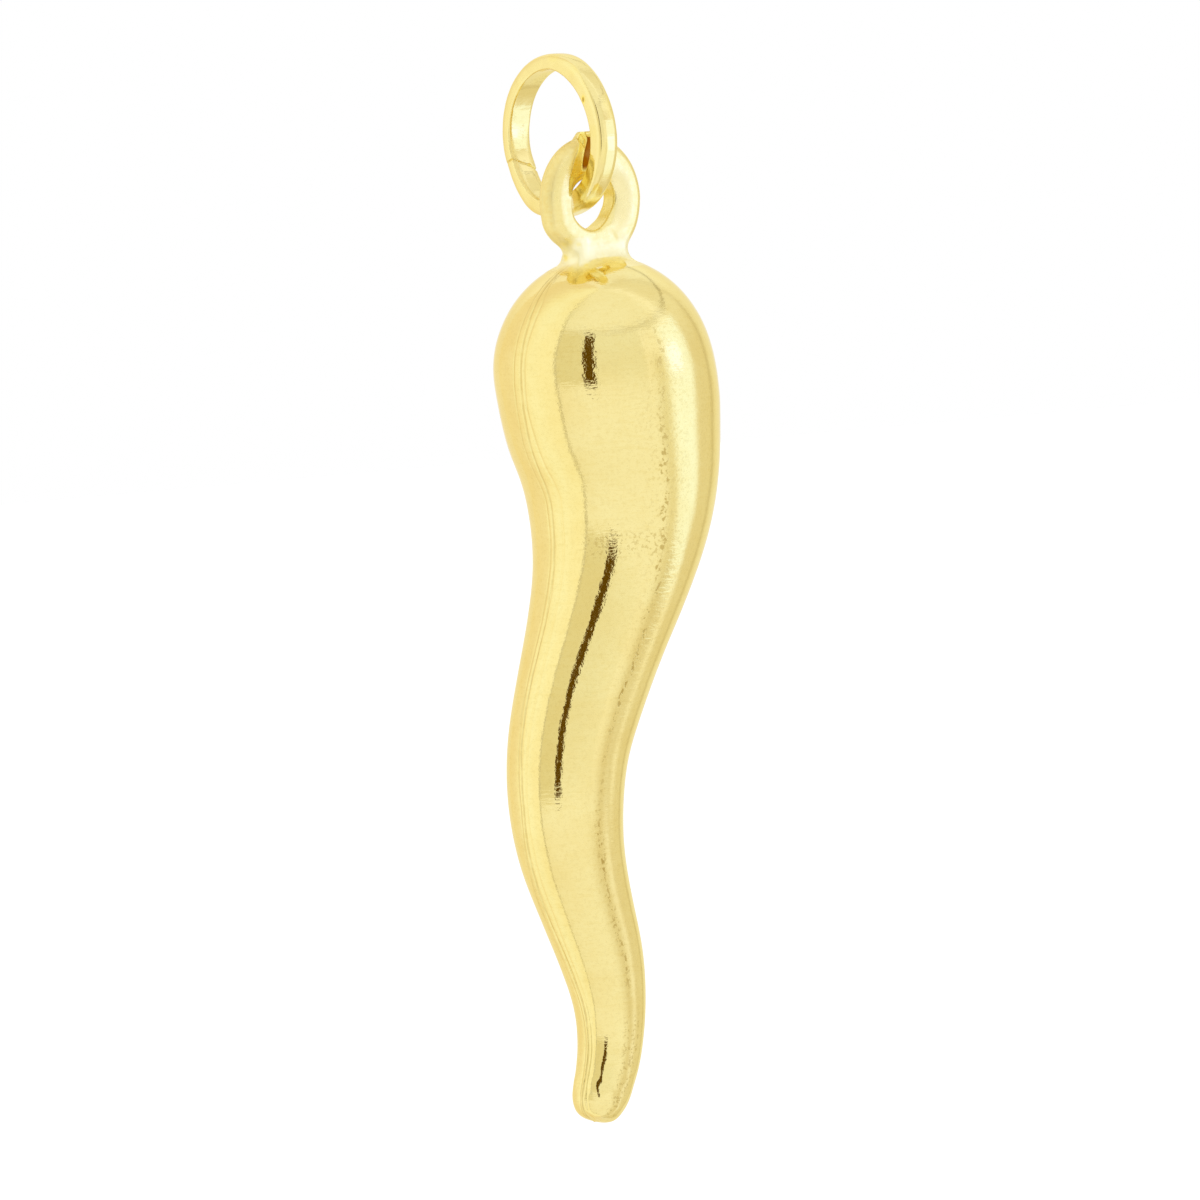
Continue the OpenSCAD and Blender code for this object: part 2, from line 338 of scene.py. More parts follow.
eye_pts = []
for i, (angle, r_out) in enumerate(zip(th, ro)):
    nub_part = 1 if (abs((angle + math.pi) % (2 * math.pi) - math.pi) < 0.22) else 0
    a_ = (angle + math.pi) % (2 * math.pi) - math.pi      # from straight up, right positive
    upper_left = soft((1.55 - abs(a_ + 0.62)) / 0.7)
    ri = 0.17 - 0.12 * upper_left
    on_right = soft((1.60 - abs(a_ - 1.55)) / 1.1)
    out_w = OUT_W - 0.20 * on_right
    s = section(r_out - HOLE_R, half_t, ri, out_w)
    rad, y = HOLE_R + s[:, 0], s[:, 1].copy()
    # the hole is a little narrower behind its front edge at the upper left
    in_wall = np.clip(1 - s[:, 0] / 0.30, 0, 1)
    tight = 0.250 * upper_left * in_wall
    depth_f, depth_b = 0.5 * (1 - y / half_t), 0.5 * (1 + y / half_t)
    low_front = 0.12 * soft((1.15 - abs((a_ - 2.35 + math.pi) % (2 * math.pi) - math.pi)) / 1.0) * in_wall
    rad_f = rad - tight * soft(depth_f / 0.42) - low_front
    low_right = 0.13 * soft((0.95 - abs(a_ - 2.35)) / 0.7) * in_wall
    rad_b = rad - tight * (1 - 0.35 * soft((depth_b - 0.5) / 0.5)) - low_front
    rad_b = rad_b - np.maximum(low_right - low_front, 0) * soft((depth_b - 0.45) / 0.45)
    x0, z0 = rad * math.sin(angle), rad * math.cos(angle)
    # the faces are very slightly crowned, and the nub is thinner than the eye
    q = np.clip((rad - HOLE_R) / max(r_out - HOLE_R, 1e-6), 0, 1)
    y -= 0.014 * (2 * q - 1) ** 2 * (z0 > -1.9) * np.clip((z0 + 1.9) / 0.8, 0, 1)
    y *= 1 - 0.16 * np.clip((z0 - 2.30) / 0.14, 0, 1)
    # a shallow crease runs over the face just above the neck
    y -= 0.012 * np.exp(-0.5 * ((z0 + 1.38 + 0.07 * (x0 - 0.1) ** 2) / 0.07) ** 2) * (abs(x0 - 0.1) < 1.0) * (y > 0.3)
    # the neck is a little thicker where it meets the shoulder
    y *= 1 + 0.07 * np.clip((-z0 - 1.5) / 0.6, 0, 1)
    deep_x = np.interp(z0, [1.0, 1.54, 2.0, 2.47], [-0.46, -0.36, -0.22, 0.0])
    dug = (0.20 + 0.14 * soft((x0 - deep_x + 0.04) / 0.18) * soft((z0 - 1.1) / 0.3)) * hollow(x0, z0) * np.clip((y - 0.05) / 0.2, 0, 1)
    # the face at the right is worn down towards the hole
    span = r_out - HOLE_R - out_w
    y_f = y * (1 - 0.21 * on_right / half_t * np.clip(1 - s[:, 0] / (0.88 * span), 0, 1) ** 2)
    front = np.stack([rad_f * math.sin(angle), -(y_f - dug), rad_f * math.cos(angle)], -1)
    back = np.stack([rad_b * math.sin(angle), y, rad_b * math.cos(angle)], -1)[-2:0:-1]
    eye_pts.append(np.vstack([front, back]))
eye_pts = np.array(eye_pts)
lump = Noise(12)
n3 = eye_pts.reshape(-1, 3)
wob = 0.008 * lump(n3, 1.1)[:, None]
n3 = n3 * (1 + wob * np.array([0.0, 0.6, 0.0]))
head = mesh_object("head", n3 + HOLE_C, tube_faces(len(th), eye_pts.shape[1], True))

# keep both shells facing outwards, then join them into one solid
for o in (body, head):
    bm = bmesh.new()
    bm.from_mesh(o.data)
    bmesh.ops.recalc_face_normals(bm, faces=bm.faces[:])
    bm.to_mesh(o.data)
    bm.free()
mod = body.modifiers.new("join", "BOOLEAN")
mod.operation, mod.object, mod.solver = "UNION", head, "MANIFOLD"
bpy.context.view_layer.update()
dg = bpy.context.evaluated_depsgraph_get()
joined = bpy.data.meshes.new_from_object(body.evaluated_get(dg))
body.modifiers.clear()
body.data = joined
bpy.data.objects.remove(head)
horn = body
horn.data.name = "horn_drop"

# ---------------------------------------------------------------- solder round the neck
me = horn.data
co = np.zeros(len(me.vertices) * 3)
me.vertices.foreach_get("co", co)
co = co.reshape(-1, 3) / MM - HOLE_C
ed = np.zeros(len(me.edges) * 2, int)
me.edges.foreach_get("vertices", ed)
ed = ed.reshape(-1, 2)
no = np.zeros(len(me.polygons) * 3)
me.polygons.foreach_get("normal", no)
no = no.reshape(-1, 3)
bm = bmesh.new()
bm.from_mesh(me)
bm.edges.ensure_lookup_table()
crease = set()
for e in bm.edges:
    z = e.verts[0].co.z / MM - HOLE_C[2]
    if -2.7 < z < -1.85 and len(e.link_faces) == 2 and e.calc_face_angle(0) > 0.35:
        crease.update((e.verts[0].index, e.verts[1].index))
bm.free()
crease = np.array(sorted(crease))
zone = np.where((co[:, 2] < -1.3) & (co[:, 2] > -3.3) & (np.abs(co[:, 1]) < 1.5) & (np.abs(co[:, 0] - 0.2) < 2.4))[0]
dist = np.full(len(co), 9.0)
cr = co[crease]
for s0 in range(0, len(zone), 2000):
    z = zone[s0:s0 + 2000]
    dist[z] = np.sqrt(((co[z][:, None, :] - cr[None, :, :]) ** 2).sum(-1)).min(1)
weight = np.clip(1 - dist / 0.52, 0, 1) ** 0.7
deg = np.bincount(ed.ravel(), minlength=len(co)).astype(float)
for _ in range(90):
    acc = np.zeros_like(co)
    np.add.at(acc, ed[:, 0], co[ed[:, 1]])
    np.add.at(acc, ed[:, 1], co[ed[:, 0]])
    co += (weight * 0.55)[:, None] * (acc / deg[:, None] - co)
me.vertices.foreach_set("co", ((co + HOLE_C) * MM).ravel())
me.update()
vn = np.zeros(len(me.vertices) * 3)
me.vertices.foreach_get("normal", vn)
vn = vn.reshape(-1, 3)
solder = Noise(21)
zone_w = soft(1 - dist / 0.55)
rough = 0.006 * solder(co, 0.45) + 0.002 * solder(co + 5, 0.2)
co += vn * (rough * zone_w)[:, None]
me.vertices.foreach_set("co", ((co + HOLE_C) * MM).ravel())
me.update()
me.polygons.foreach_set("use_smooth", [True] * len(me.polygons))

# ---------------------------------------------------------------- where the metal is marked, and where light and shade are painted
# red: dirt and small marks, green: dullness, blue: deeper solder colour
tv = -co[:, 2] - NECK_H
xv, rv, _t = body_at(np.clip(tv, 0.01, BODY_H - 0.01))
around = np.degrees(np.arctan2(co[:, 0] - xv, -co[:, 1]))      # 0 to the front, 90 to +X
on_body = soft((tv - 0.15) / 0.5)


def patch(v, mid, half, edge_):
    return soft((half + edge_ - np.abs(v - mid)) / edge_)


sl = np.radians(-(around + 90)) * rv * -1.0
sl = np.radians(around + 90) * rv                              # mm in front of the left side's middle
lines = sum(k_ * dip(sl - line_at(tv, i_), 0.027) for i_, k_ in ((1, 0.7), (2, 1.0), (3, 0.45 * soft((8.5 - tv) / 2.5))))
lines = lines * (np.abs(around + 90) < 35)
# the worn line down the front right, and speckled patches beside it
worn = np.interp(tv, [3.0, 5.0, 7.2, 9.0, 11.3, 13.1, 15.4, 19.5, 21.3, 25.6], [-5, -9, -12.5, -10, -6, -1, 2, -2, -4.5, -5])
worn = worn + 2.2 * wander(co * [0, 0, 1.0], 0.9)
off_line = around - worn
spots = np.clip(0.16 * patch(off_line, 2, 9, 8) * patch(tv, 9, 5, 3)
                + 0.55 * patch(off_line, 0, 3, 4) * patch(tv, 23.6, 2.8, 1.5)
                + 0.55 * patch(around, 2, 12, 8) * patch(tv, 30.2, 1.5, 0.8)
                + 0.45 * patch(around, -35, 22, 10) * patch(tv, 10.6, 0.30, 0.3)
                + 0.12 * patch(tv, 17, 14, 2), 0, 1)
trail = (0.55 * patch(tv, 4.5, 1.5, 1.0) + 0.9 * patch(tv, 11.5, 4.2, 1.5) + 0.5 * patch(tv, 19.0, 2.5, 2.0)
         + 0.8 * patch(tv, 24.0, 2.6, 1.0)) * on_body
seam_dirt = np.clip(lines, 0, 1) * on_body
dull = np.clip(0.22 * patch(around, -2, 5, 6) * patch(tv, 6.5, 3.5, 3.0)
               + 0.07 * patch(around, 0, 22, 14) * patch(tv, 16, 16, 3), 0, 1) * on_body
dull = np.maximum(dull, 0.75 * soft((0.25 - tv) / 0.4))
# the rounded edges of the eye are duller still
turned = soft((0.95 + vn[:, 1]) / 0.30) * (tv < 0.2) * (np.abs(co[:, 1]) > 0.02) * (np.hypot(co[:, 0], co[:, 2]) > HOLE_R + 0.25)
turned *= 1 - 0.85 * soft((1.90 - np.abs(np.arctan2(co[:, 0], co[:, 2]) - 1.35)) / 1.0) * (vn[:, 1] < 0)
dull = np.maximum(dull, 1.6 * turned * soft((0.2 - tv) / 0.3))
dull = np.maximum(dull, 1.1 * soft((0.95 - dist) / 0.5))
blob = np.clip(solder(co + 3, 0.24) * 2.2 - 0.75, 0, 1)
warm = blob * soft((0.62 - dist) / 0.4)
# paler round the solder at the neck; painted light makes the neck's front-facing face paler
pale = np.maximum(soft((0.75 - dist) / 0.45), 0.55 * soft((-1.0 - co[:, 2]) / 0.5) * (tv < 0.4) * soft((0.93 + vn[:, 1]) / 0.1))
# painted light: the eye's rounded edges are made a little paler
pale = np.maximum(pale, 0.10 * turned)
# painted light: the right part of the eye's front face is made paler towards the hole
right_face = soft((1.60 - np.abs(np.arctan2(co[:, 0], co[:, 2]) - 1.55)) / 1.1) * soft((-vn[:, 1] - 0.55) / 0.2)
pale = np.maximum(pale, 0.45 * right_face * soft((1.9 - np.hypot(co[:, 0], co[:, 2])) / 0.3) * (tv < 0.2))
# painted reflection and painted shade: the wire's twice-reflected gold painted into the hollow beside the wire and,
# faintly, onto the wall of the hole, with a dark brown painted shade along the hollow's deep edge
flat_r = np.hypot(co[:, 0], co[:, 2])
in_hollow = hollow(co[:, 0], co[:, 2]) * (co[:, 1] < -0.02) * (co[:, 1] > -EYE_T / 2 - 0.02) * (flat_r > HOLE_R - 0.2)
deep_edge = np.interp(co[:, 2], [1.0, 1.54, 2.0, 2.47], [-0.46, -0.36, -0.22, 0.0])
# painted shade: a dark brown sliver along the hollow's deep edge, fading into the painted gold
painted_shade_sliver = soft((co[:, 0] - deep_edge + 0.03) / 0.12) * soft((co[:, 2] - 1.02) / 0.30) * in_hollow
painted_shade_sliver *= soft((0.46 - co[:, 0]) / 0.36) * (1.0 + 0.10 * np.clip(solder(co + 11, 0.22), -0.7, 0.0))
hole_wall = (flat_r < HOLE_R + 0.03) * (np.abs(co[:, 1]) < EYE_T / 2 - 0.05) * (co[:, 2] > -2)
painted_reflection_and_shade = np.clip(np.maximum(0.46 * in_hollow + 0.54 * painted_shade_sliver, 0.12 * hole_wall), 0, 1)
wear = np.stack([np.clip(spots * on_body, 0, 1), dull, warm, np.ones(len(co))], 1)
att = me.color_attributes.new("wear", "FLOAT_COLOR", "POINT")
att.data.foreach_set("color", wear.ravel())
# lines: red the parting lines' dark seams; green and blue the painted reflection and painted shade in the hollow and on
# the hole's wall
att = me.color_attributes.new("lines", "FLOAT_COLOR", "POINT")
att.data.foreach_set("color", np.stack([seam_dirt, painted_reflection_and_shade, painted_reflection_and_shade, np.ones(len(co))], 1).ravel())
# trail: red the offset from the worn line, green the trail of nicks, blue paler solder and painted light
att = me.color_attributes.new("trail", "FLOAT_COLOR", "POINT")
att.data.foreach_set("color", np.stack([np.clip(off_line / 40 + 0.5, 0, 1), trail, pale, np.ones(len(co))], 1).ravel())

# ---------------------------------------------------------------- the jump ring
w2 = WIRE_AX / 2
DOME_R = RING_R - DOME
prof = []
for q in np.linspace(math.radians(270), math.radians(180), 6):
    prof.append((RING_IN + WIRE_EDGE + WIRE_EDGE * math.cos(q), -w2 + WIRE_EDGE + WIRE_EDGE * math.sin(q)))
for q in np.linspace(-1, 1, 15)[1:-1]:
    prof.append((RING_IN, (w2 - WIRE_EDGE) * q))
for q in np.linspace(math.radians(180), math.radians(90), 6):
    prof.append((RING_IN + WIRE_EDGE + WIRE_EDGE * math.cos(q), w2 - WIRE_EDGE + WIRE_EDGE * math.sin(q)))
for q in np.linspace(0, 1, 6)[1:-1]:
    prof.append((RING_IN + WIRE_EDGE + (DOME_R - RING_IN - WIRE_EDGE) * q, w2))
for q in np.linspace(math.pi / 2, -math.pi / 2, 41):
    c_, s_ = abs(math.cos(q)), math.sin(q)
    prof.append((DOME_R + DOME * c_ ** (2 / SQUARE), w2 * math.copysign(abs(s_) ** (2 / SQUARE), s_)))
for q in np.linspace(1, 0, 6)[1:-1]:
    prof.append((RING_IN + WIRE_EDGE + (DOME_R - RING_IN - WIRE_EDGE) * q, -w2))
prof = np.array(prof)
# angle b runs in the ring's plane from +Y (the back) upwards; the join is at JOIN
JOIN = math.radians(-25.5)
SLANT = -0.20         # the cut runs down towards +X, radians for each mm of the wire's width
b = np.concatenate([np.linspace(-0.12, 0.12, 49)[:-1], np.linspace(0.12, 2 * math.pi - 0.12, 330)[:-1]]) + JOIN
off = b - JOIN
off = np.where(off > math.pi, off - 2 * math.pi, off)
rnd = Noise(31)
ring_pts, ring_cut, ring_gap, ring_rub = [], [], [], []
for bb, o in zip(b, off):
    r, x = prof[:, 0].copy() - 0.006, prof[:, 1].copy()
    # cut ends that were pressed together: a fine slanted groove, wider at one end
    oc = o - SLANT * x - 0.012 * np.sin(x * 9.0)
    g = np.exp(-0.5 * (oc / (0.0075 + 0.006 * (x > 0.1))) ** 2)
    mid_r = (RING_IN + RING_R) / 2
    shrink = 1 - 0.13 * g
    r, x = mid_r + (r - mid_r) * shrink, x * shrink
    # the wire is a little straighter just past the join, where the pliers held it
    low_side = math.exp(-0.5 * ((o + 0.60) / 0.226) ** 2)
    kink = math.exp(-0.5 * (o / 0.10) ** 2)
    turn_ = (bb - math.radians(150) + math.pi) % (2 * math.pi) - math.pi
    in_hole = math.exp(-0.5 * (((bb - math.radians(246) + math.pi) % (2 * math.pi) - math.pi) / 0.16) ** 2)
    r = r - 0.058 * in_hole * np.clip((mid_r - r) / 0.2, 0, 1)
    # the far side was pressed a little flatter and wider
    bd = (math.degrees(bb) + 180) % 360 - 180
    pressed = soft((bd + 62) / 35) * soft((126 - bd) / 36)
    r = r + 0.11 * pressed * np.clip((mid_r - r) / 0.2, 0, 1)
    # its inner edges are rubbed round on both sides of the join
    rubbed = soft((bd + 88) / 20) * soft((14 - bd) / 28)
    edge_ = (np.abs(x) / w2) ** 4 * np.clip((mid_r - r) / (mid_r - RING_IN - 0.11 * pressed), 0, 1) ** 6
    r = r + 0.06 * rubbed * edge_
    x = x * (1 + 0.13 * pressed) * (1 - 0.06 * rubbed * edge_)
    ring_rub.append(rubbed * soft(edge_ / 0.25))
    r = r + 0.19 * low_side - 0.035 * kink - 0.11 * math.exp(-0.5 * (turn_ / 0.42) ** 2)
    ring_pts.append(np.stack([x, r * math.cos(bb), r * math.sin(bb)], -1))
    ring_cut.append(np.exp(-0.5 * (oc / 0.012) ** 2) * (0.55 + 0.45 * (x > 0.0)))
    ring_gap.append(0.80 * np.exp(-0.5 * (oc / 0.007) ** 2) * soft((x - 0.02) / 0.2))
ring_pts = np.array(ring_pts)
p = ring_pts.reshape(-1, 3)
cen = np.stack([np.zeros(len(p)), p[:, 1], p[:, 2]], -1)
cen *= ((RING_IN + RING_R) / 2 / np.linalg.norm(cen, axis=1))[:, None]
out = p - cen
out /= np.maximum(np.linalg.norm(out, axis=1), 1e-6)[:, None]
p = p + out * (0.005 * rnd(p, 0.9) + 0.0022 * rnd(p + 9, 0.25) + 0.0008 * rnd(p + 4, 0.12) - 0.007)[:, None]
p[:, 1:] = np.clip(p[:, 1:], -RING_R + 0.002, RING_R - 0.002)
ring = mesh_object("ring_wire", p + RING_C, tube_faces(len(b), len(prof), True))
cut_marks = np.array(ring_cut).ravel()
# a small brown spot on the near side's inner edge
spot = np.exp(-0.5 * (((p - [-0.43, -2.03, 1.33]) / [0.10, 0.055, 0.085]) ** 2).sum(1))
inner = np.tile((prof[:, 0] < RING_IN + 0.05).astype(float), len(b))
smudge = np.clip(rnd(p + 2, 0.55) * 2.2 - 0.5, 0, 1)
# the ring's lower limb inside the eye's hole: painted light makes its outer faces paler, and they are a little duller
rest_ = np.degrees(np.repeat(b, len(prof))) % 360
rest_ = soft((22 - np.abs(rest_ - 240)) / 12) * (1 - inner)
rub = np.maximum(0.40 * rest_, 1.1 * np.array(ring_rub).ravel())
wear = np.stack([np.clip(0.04 + 0.30 * inner * smudge, 0, 1), np.maximum(0.10 + 0.25 * smudge, rub),
                 0.30 * smudge * (1 - rest_), np.ones(len(p))], 1)
att = ring.data.color_attributes.new("wear", "FLOAT_COLOR", "POINT")
att.data.foreach_set("color", wear.ravel())
att = ring.data.color_attributes.new("lines", "FLOAT_COLOR", "POINT")
gap = np.maximum(np.array(ring_gap).ravel(), np.minimum(1.3 * spot, 0.8))
att.data.foreach_set("color", np.stack([cut_marks, gap, 0 * gap, np.ones(len(p))], 1).ravel())
att = ring.data.color_attributes.new("trail", "FLOAT_COLOR", "POINT")
# blue: painted light, paler on the ring's lower limb
att.data.foreach_set("color", np.stack([0 * rest_, 0 * rest_, 1.0 * rest_, np.ones(len(p))], 1).ravel())
bm = bmesh.new()
bm.from_mesh(ring.data)
bmesh.ops.recalc_face_normals(bm, faces=bm.faces[:])
bm.to_mesh(ring.data)
bm.free()


# ---------------------------------------------------------------- materials
def gold(name, base, deep, grain_=1.0):
    m = bpy.data.materials.new(name)
    m.use_nodes = True
    nt_ = m.node_tree
    for n in list(nt_.nodes):
        nt_.nodes.remove(n)
    N, L = nt_.nodes, nt_.links
    outn = N.new("ShaderNodeOutputMaterial")
    bs = N.new("ShaderNodeBsdfPrincipled")
    L.new(bs.outputs[0], outn.inputs[0])
    bs.inputs["Metallic"].default_value = 1.0
    tc_ = N.new("ShaderNodeTexCoord")

    def noise(scale, detail=3, rough=0.5, stretch=None):
        t = N.new("ShaderNodeTexNoise")
        t.inputs["Scale"].default_value = scale
        t.inputs["Detail"].default_value = detail
        t.inputs["Roughness"].default_value = rough
        if stretch:
            mp = N.new("ShaderNodeMapping")
            mp.inputs["Scale"].default_value = stretch
            L.new(tc_.outputs["Object"], mp.inputs[0])
            L.new(mp.outputs[0], t.inputs["Vector"])
        else:
            L.new(tc_.outputs["Object"], t.inputs["Vector"])
        return t

    def ramp(src, lo, hi, c0=0.0, c1=1.0):
        r_ = N.new("ShaderNodeMapRange")
        r_.inputs["From Min"].default_value = lo
        r_.inputs["From Max"].default_value = hi
        r_.inputs["To Min"].default_value = c0
        r_.inputs["To Max"].default_value = c1
        L.new(src, r_.inputs[0])
        return r_.outputs[0]

    def math_(op, a_, b_=None, clamp=False):
        n_ = N.new("ShaderNodeMath")
        n_.operation, n_.use_clamp = op, clamp
        for i_, v_ in enumerate((a_, b_)):
            if v_ is None:
                continue
            if isinstance(v_, (int, float)):
                n_.inputs[i_].default_value = v_
            else:
                L.new(v_, n_.inputs[i_])
        return n_.outputs[0]

    def blend(fac, a_, b_):
        n_ = N.new("ShaderNodeMix")
        n_.data_type = "RGBA"
        for key, v_ in (("A", a_), ("B", b_)):
            if isinstance(v_, tuple):
                n_.inputs[key].default_value = (*v_, 1)
            else:
                L.new(v_, n_.inputs[key])
        L.new(fac, n_.inputs["Factor"])
        return n_.outputs["Result"]

    def stored(attribute):
        n_ = N.new("ShaderNodeAttribute")
        n_.attribute_name = attribute
        sp = N.new("ShaderNodeSeparateColor")
        L.new(n_.outputs["Color"], sp.inputs[0])
        return sp.outputs

    marks, dull_, warm_ = stored("wear")[0:3]
    lines_, join_gap_and_painted_light_ = stored("lines")[0:2]
    offset_, trail_, pale_ = stored("trail")[0:3]
    # how far round the body's side a point lies, in degrees, from the surface's own normal
    sx = N.new("ShaderNodeSeparateXYZ")
    L.new(tc_.outputs["Normal"], sx.inputs[0])
    turn_ = math_("MULTIPLY", math_("ARCTAN2", sx.outputs[0], math_("MULTIPLY", sx.outputs[1], -1.0)), 57.29578)
    on_side = ramp(math_("ABSOLUTE", sx.outputs[2]), 0.75, 0.6)
    # broad patches of slightly deeper gold
    tone = noise(420, 4, 0.55).outputs["Fac"]
    col = blend(ramp(tone, 0.45, 0.75), base, deep)
    # fine speckle and short scratches across the piece
    speck = noise(9500, 3, 0.65).outputs["Fac"]
    scratch = noise(8500, 3, 0.65, (0.16, 0.16, 1.0)).outputs["Fac"]
    fleck = math_("ADD", ramp(speck, 0.48, 0.72, 0, 0.32 * grain_), ramp(scratch, 0.50, 0.70, 0, 0.34 * grain_))
    fleck = math_("ADD", fleck, ramp(noise(2600, 4, 0.7).outputs["Fac"], 0.45, 0.70, 0, 0.25 * grain_))
    col = blend(fleck, col, tuple(v * k_ for v, k_ in zip(base, (0.93, 0.88, 0.74))))
    # pale solder and painted light (paler front faces and edges of the eye and neck, paler lower limb of the ring), a
    # few deeper drops, marks and dirty lines
    col = blend(math_("MULTIPLY", pale_, 0.8), col, (0.98, 0.93, 0.64))
    col = blend(math_("MULTIPLY", warm_, 0.8), col, (0.95, 0.80, 0.24))
    pit_n = noise(7800, 2, 0.6).outputs["Fac"]
    # a narrow trail of small nicks down the front, wandering a little
    sway = math_("MULTIPLY", math_("SUBTRACT", noise(2600, 2, 0.5).outputs["Fac"], 0.5), 0.16)
    near_ = math_("ABSOLUTE", math_("ADD", math_("SUBTRACT", offset_, 0.5), sway))
    nick = math_("MULTIPLY", ramp(near_, 0.062, 0.036), math_("MULTIPLY", trail_, 1.25))
    dab = noise(5200, 2, 0.6).outputs["Fac"]
    pits = math_("MAXIMUM", math_("MULTIPLY", ramp(pit_n, 0.53, 0.62), marks),
                 math_("MULTIPLY", ramp(dab, 0.51, 0.57), nick))
    col = blend(math_("MULTIPLY", pits, 0.72, True), col, (0.56, 0.41, 0.12))
    line_n = ramp(noise(2400, 2, 0.5).outputs["Fac"], 0.30, 0.55, 0.35, 1.0)
    col = blend(math_("MULTIPLY", math_("MULTIPLY", lines_, line_n), 0.62, True), col, (0.60, 0.44, 0.14))
    # painted reflection and painted shade on the horn: deeper gold for the wire's reflection in the hollow, dark brown
    # for the shade beside it; on the ring the same channel holds the join's gap and a brown spot
    col = blend(math_("MULTIPLY", join_gap_and_painted_light_, 2.0, True), col, (0.97, 0.79, 0.19))
    col = blend(math_("SUBTRACT", math_("MULTIPLY", join_gap_and_painted_light_, 2.0), 1.0, True), col, (0.29, 0.080, 0.0))
    L.new(col, bs.inputs["Base Color"])
    # polish: bright on the body, duller on the cast eye and in the worn patches
    rn = ramp(noise(2600, 5, 0.6).outputs["Fac"], 0.3, 0.75, 0.035, 0.085)
    mottle = ramp(noise(5600, 3, 0.6).outputs["Fac"], 0.35, 0.65, 0.26, 0.40)
    rough_ = math_("ADD", rn, math_("MULTIPLY", dull_, mottle))
    rough_ = math_("ADD", rough_, math_("MULTIPLY", pits, 0.15))
    L.new(rough_, bs.inputs["Roughness"])
    bs.inputs["Specular Tint"].default_value = (1.0, 0.94, 0.68, 1)
    # bump: a fine orange-peel skin, the scratches and the pits
    fine = noise(8000, 3, 0.6).outputs["Fac"]
    h_ = math_("ADD", math_("MULTIPLY", fine, 0.8), math_("MULTIPLY", scratch, 1.5))
    ragged = math_("MULTIPLY", math_("MULTIPLY", ramp(math_("ABSOLUTE", math_("ADD", turn_, 45.0)), 9.0, 4.0), on_side),
                   noise(4700, 2, 0.6, (0.85, 0.85, 0.70)).outputs["Fac"])
    h_ = math_("ADD", h_, math_("MULTIPLY", ragged, 2.3))
    combed = math_("MULTIPLY", math_("MULTIPLY", ramp(math_("ABSOLUTE", math_("ADD", turn_, -2.0)), 14.0, 6.0), on_side),
                   noise(6500, 2, 0.6, (0.30, 0.30, 1.0)).outputs["Fac"])
    h_ = math_("ADD", h_, math_("MULTIPLY", combed, 2.0))
    h_ = math_("SUBTRACT", h_, math_("MULTIPLY", pits, 0.8))
    bump = N.new("ShaderNodeBump")
    bump.inputs["Distance"].default_value = 0.00001
    bump.inputs["Strength"].default_value = 0.32
    L.new(h_, bump.inputs["Height"])
    L.new(bump.outputs[0], bs.inputs["Normal"])
    return m


gold_horn = gold("pale_gold", (0.93, 0.80, 0.36), (0.90, 0.74, 0.30))
gold_ring = gold("ring_gold", (0.93, 0.80, 0.36), (0.90, 0.74, 0.30), 0.45)
for o, m, slot, node, bodyname in ((horn, gold_horn, "horn_gold", "horn", "pendant"),
                                   (ring, gold_ring, "ring_gold", "jump_ring", "ring")):
    o.data.materials.clear()
    o.data.materials.append(m)
    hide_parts(node)
    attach(o, bodyname)


# ---------------------------------------------------------------- camera
PX = 0.0371                       # mm for each of the 1200 pixels
az, el, roll = math.radians(-38), math.radians(4), math.radians(2.5)
back = Vector((math.sin(az) * math.cos(el), -math.cos(az) * math.cos(el), math.sin(el)))
right = Vector((math.cos(az), math.sin(az), 0))
up = back.cross(right)
target = Vector(HOLE_C) - 0.182 * right - 14.81 * up
DIST = 400.0
cam_data = bpy.data.cameras.new("camera")
cam = bpy.data.objects.new("camera", cam_data)
bpy.context.scene.collection.objects.link(cam)
cam.location = (target + back * DIST) * MM
cam.rotation_mode = "QUATERNION"
cam.rotation_quaternion = (-back).to_track_quat("-Z", "Y") @ Quaternion((0, 0, 1), -roll)
cam_data.sensor_width = 36
cam_data.lens = 36 * DIST / (1200 * PX)
cam_data.clip_start, cam_data.clip_end = 0.01, 20
bpy.context.scene.camera = cam

# ---------------------------------------------------------------- floor and light
CENTRE = Vector((0, -0.0012, -0.0200))


def emission(name, rgb=None, strength=1.0, attribute=None):
    """A plain glowing material; its tone can come from a colour stored on the mesh."""
    m = bpy.data.materials.new(name)
    m.use_nodes = True
    nt_ = m.node_tree
    for n in list(nt_.nodes):
        nt_.nodes.remove(n)
    o_ = nt_.nodes.new("ShaderNodeOutputMaterial")
    e_ = nt_.nodes.new("ShaderNodeEmission")
    e_.inputs["Strength"].default_value = strength
    if attribute:
        at = nt_.nodes.new("ShaderNodeAttribute")
        at.attribute_name = attribute
        nt_.links.new(at.outputs["Color"], e_.inputs["Color"])
    else:
        e_.inputs["Color"].default_value = (*rgb, 1)
    nt_.links.new(e_.outputs[0], o_.inputs[0])
    return m


def direction(az_, el_):
    """Unit vector at an azimuth (0 to the front, 90 to +X) and an elevation, degrees."""
    a_, e_ = np.radians(az_), np.radians(el_)
    return np.stack([np.sin(a_) * np.cos(e_), -np.cos(a_) * np.cos(e_), np.sin(e_)], -1)


